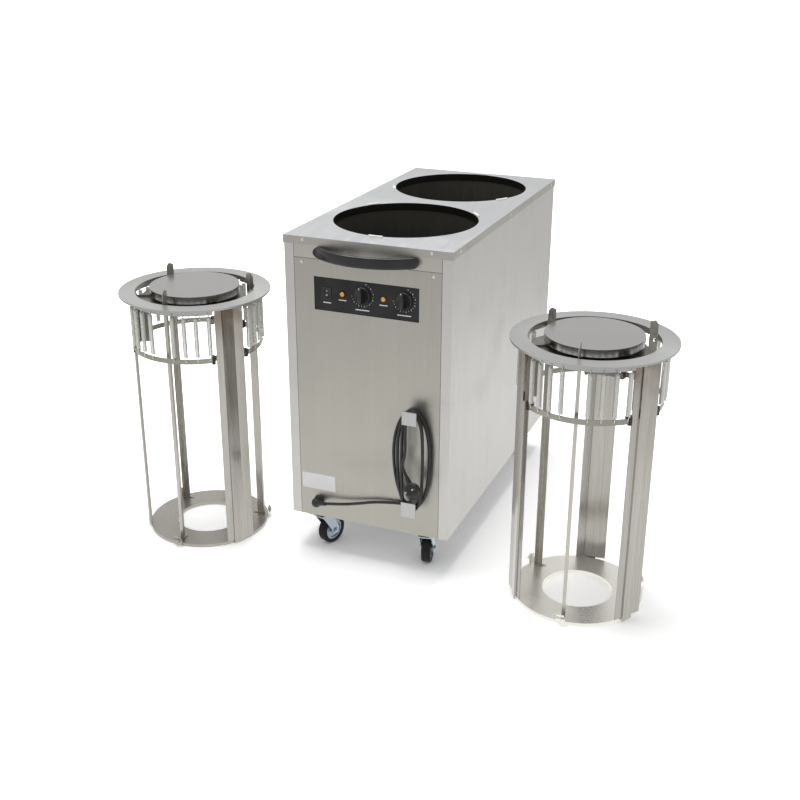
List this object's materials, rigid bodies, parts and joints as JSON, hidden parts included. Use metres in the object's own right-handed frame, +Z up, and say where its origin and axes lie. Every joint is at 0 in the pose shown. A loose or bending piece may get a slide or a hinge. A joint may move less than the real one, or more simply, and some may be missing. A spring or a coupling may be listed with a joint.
{
  "type": "plate dispenser cart",
  "caption": "Heated plate dispenser cart: a closed brushed-steel cabinet on swivel casters with round wells, and its spring-loaded lowering tubes standing beside it.",
  "frame": {"origin": "on the floor, under the middle of the box round the cabinet and both tubes", "axes": "+Z up; +X to the right when facing the control panel, along the row of tube, cabinet and tube; +Y from the control panel towards the back of the cabinet"},
  "size_m": [1.4881, 1.0682, 0.8899],
  "materials": {
    "cabinet_steel": "brushed stainless sheet, satin",
    "inner_steel": "plain mill-finish sheet",
    "well_black": "dark matt inner wall",
    "element_metal": "heat-darkened tube",
    "clip_steel": "bright sheet strip",
    "screw_steel": "bright head",
    "fascia_black": "satin black face with white print",
    "black_plastic": "moulded black, satin",
    "lamp_amber": "clear amber lens",
    "handle_black": "glossy black",
    "hook_steel": "bright folded sheet",
    "cord_black": "matt black sheath",
    "plug_black": "moulded black with bright pins",
    "label_white": "blank white label",
    "zinc": "bluish zinc plate",
    "wheel_plastic": "dark moulded centre",
    "tyre_rubber": "black rubber tread",
    "tube_steel": "brushed stainless sheet with weld tint",
    "disc_steel": "concentric brushed sheet",
    "spring_wire": "pale zinc wire"
  },
  "bodies": {
    "cabinet": {"back_panel": "cabinet_steel", "cable_gland": "black_plastic", "caster_plates": "zinc", "control_fascia": "fascia_black", "cord_hooks": "hook_steel", "front_panel": "cabinet_steel", "front_well": "well_black", "handle_panel": "cabinet_steel", "heating_elements": "element_metal", "indicator_lamps": "lamp_amber", "inner_frame": "inner_steel", "panel_screws": "screw_steel", "plug": "plug_black", "power_cord_hank": "cord_black", "power_cord_lead": "cord_black", "push_handle": "handle_black", "rating_plate": "label_white", "rear_well": "well_black", "rim_clips": "clip_steel", "switchgear": "black_plastic", "top_panel": "cabinet_steel", "left_side_panel": "cabinet_steel", "right_side_panel": "cabinet_steel"},
    "rocker": {"rocker": "black_plastic"},
    "knob_1": {"knob_1": "black_plastic"},
    "knob_2": {"knob_2": "black_plastic"},
    "caster_front_left": {"fork_front_left": "zinc"},
    "roller_front_left": {"wheel_front_left": "wheel_plastic", "tyre_front_left": "tyre_rubber"},
    "caster_front_right": {"fork_front_right": "zinc"},
    "roller_front_right": {"wheel_front_right": "wheel_plastic", "tyre_front_right": "tyre_rubber"},
    "caster_rear_left": {"fork_rear_left": "zinc"},
    "roller_rear_left": {"wheel_rear_left": "wheel_plastic", "tyre_rear_left": "tyre_rubber"},
    "caster_rear_right": {"fork_rear_right": "zinc"},
    "roller_rear_right": {"wheel_rear_right": "wheel_plastic", "tyre_rear_right": "tyre_rubber"},
    "left_tube": {"left_flange_ring": "tube_steel", "left_base_ring": "tube_steel", "left_rails": "tube_steel", "left_springs": "spring_wire"},
    "left_platform": {"left_platform_disc": "disc_steel", "left_platform_carrier": "tube_steel", "left_guide_blocks": "black_plastic", "left_spring_band": "tube_steel"},
    "left_guide_1": {"left_guide_1": "tube_steel"},
    "left_guide_2": {"left_guide_2": "tube_steel"},
    "left_guide_3": {"left_guide_3": "tube_steel"},
    "right_tube": {"right_flange_ring": "tube_steel", "right_base_ring": "tube_steel", "right_rails": "tube_steel", "right_springs": "spring_wire"},
    "right_platform": {"right_platform_disc": "disc_steel", "right_platform_carrier": "tube_steel", "right_guide_blocks": "black_plastic", "right_spring_band": "tube_steel"},
    "right_guide_1": {"right_guide_1": "tube_steel"},
    "right_guide_2": {"right_guide_2": "tube_steel"},
    "right_guide_3": {"right_guide_3": "tube_steel"}
  },
  "joints": [
    {"name": "rocker_tilt", "type": "hinge", "parent": "cabinet", "child": "rocker", "pos_m": [-0.1285, -0.3732, 0.747], "axis": [1, 0, 0], "range_deg": [0, 16]},
    {"name": "knob_1_turn", "type": "hinge", "parent": "cabinet", "child": "knob_1", "pos_m": [-0.0315, -0.3767, 0.752], "axis": [0, 1, 0], "range_deg": [0, 270]},
    {"name": "knob_2_turn", "type": "hinge", "parent": "cabinet", "child": "knob_2", "pos_m": [0.0805, -0.3767, 0.752], "axis": [0, 1, 0], "range_deg": [0, 270]},
    {"name": "swivel_front_left", "type": "hinge", "parent": "cabinet", "child": "caster_front_left", "pos_m": [-0.1715, -0.3407, 0.098], "axis": [0, 0, 1], "continuous": true},
    {"name": "roll_front_left", "type": "hinge", "parent": "caster_front_left", "child": "roller_front_left", "pos_m": [-0.16124, -0.31251, 0.04], "axis": [0.9397, -0.342, 0], "continuous": true},
    {"name": "swivel_front_right", "type": "hinge", "parent": "cabinet", "child": "caster_front_right", "pos_m": [0.1325, -0.3407, 0.098], "axis": [0, 0, 1], "continuous": true},
    {"name": "roll_front_right", "type": "hinge", "parent": "caster_front_right", "child": "roller_front_right", "pos_m": [0.12678, -0.31125, 0.04], "axis": [0.9816, 0.1908, 0], "continuous": true},
    {"name": "swivel_rear_left", "type": "hinge", "parent": "cabinet", "child": "caster_rear_left", "pos_m": [-0.1715, 0.4953, 0.098], "axis": [0, 0, 1], "continuous": true},
    {"name": "roll_rear_left", "type": "hinge", "parent": "caster_rear_left", "child": "roller_rear_left", "pos_m": [-0.17567, 0.46559, 0.04], "axis": [-0.9903, 0.1392, 0], "continuous": true},
    {"name": "swivel_rear_right", "type": "hinge", "parent": "cabinet", "child": "caster_rear_right", "pos_m": [0.1325, 0.4953, 0.098], "axis": [0, 0, 1], "continuous": true},
    {"name": "roll_rear_right", "type": "hinge", "parent": "caster_rear_right", "child": "roller_rear_right", "pos_m": [0.13874, 0.46596, 0.04], "axis": [-0.9781, -0.2079, 0], "continuous": true},
    {"name": "left_tube_lift", "type": "slide", "parent": "cabinet", "child": "left_tube", "axis": [0, 0, 1], "range_m": [0, 0.9]},
    {"name": "left_platform_drop", "type": "slide", "parent": "left_tube", "child": "left_platform", "axis": [0, 0, 1], "range_m": [-0.48, 0], "stiffness_N_per_m": 600, "springref_m": 0.1, "deforming": ["left_springs"]},
    {"name": "left_guide_1_turn", "type": "hinge", "parent": "left_tube", "child": "left_guide_1", "pos_m": [-0.5425, -0.4857, 0.009], "axis": [0, 0, 1], "range_deg": [0, 70]},
    {"name": "left_guide_2_turn", "type": "hinge", "parent": "left_tube", "child": "left_guide_2", "pos_m": [-0.40913, -0.2547, 0.009], "axis": [0, 0, 1], "range_deg": [0, 95]},
    {"name": "left_guide_3_turn", "type": "hinge", "parent": "left_tube", "child": "left_guide_3", "pos_m": [-0.67587, -0.2547, 0.009], "axis": [0, 0, 1], "range_deg": [-45, 25]},
    {"name": "right_tube_lift", "type": "slide", "parent": "cabinet", "child": "right_tube", "axis": [0, 0, 1], "range_m": [0, 0.9]},
    {"name": "right_platform_drop", "type": "slide", "parent": "right_tube", "child": "right_platform", "axis": [0, 0, 1], "range_m": [-0.48, 0], "stiffness_N_per_m": 600, "springref_m": 0.1, "deforming": ["right_springs"]},
    {"name": "right_guide_1_turn", "type": "hinge", "parent": "right_tube", "child": "right_guide_1", "pos_m": [0.5425, -0.4647, 0.009], "axis": [0, 0, 1], "range_deg": [0, 70]},
    {"name": "right_guide_2_turn", "type": "hinge", "parent": "right_tube", "child": "right_guide_2", "pos_m": [0.67587, -0.2337, 0.009], "axis": [0, 0, 1], "range_deg": [0, 83]},
    {"name": "right_guide_3_turn", "type": "hinge", "parent": "right_tube", "child": "right_guide_3", "pos_m": [0.40913, -0.2337, 0.009], "axis": [0, 0, 1], "range_deg": [-30, 40]}
  ]
}
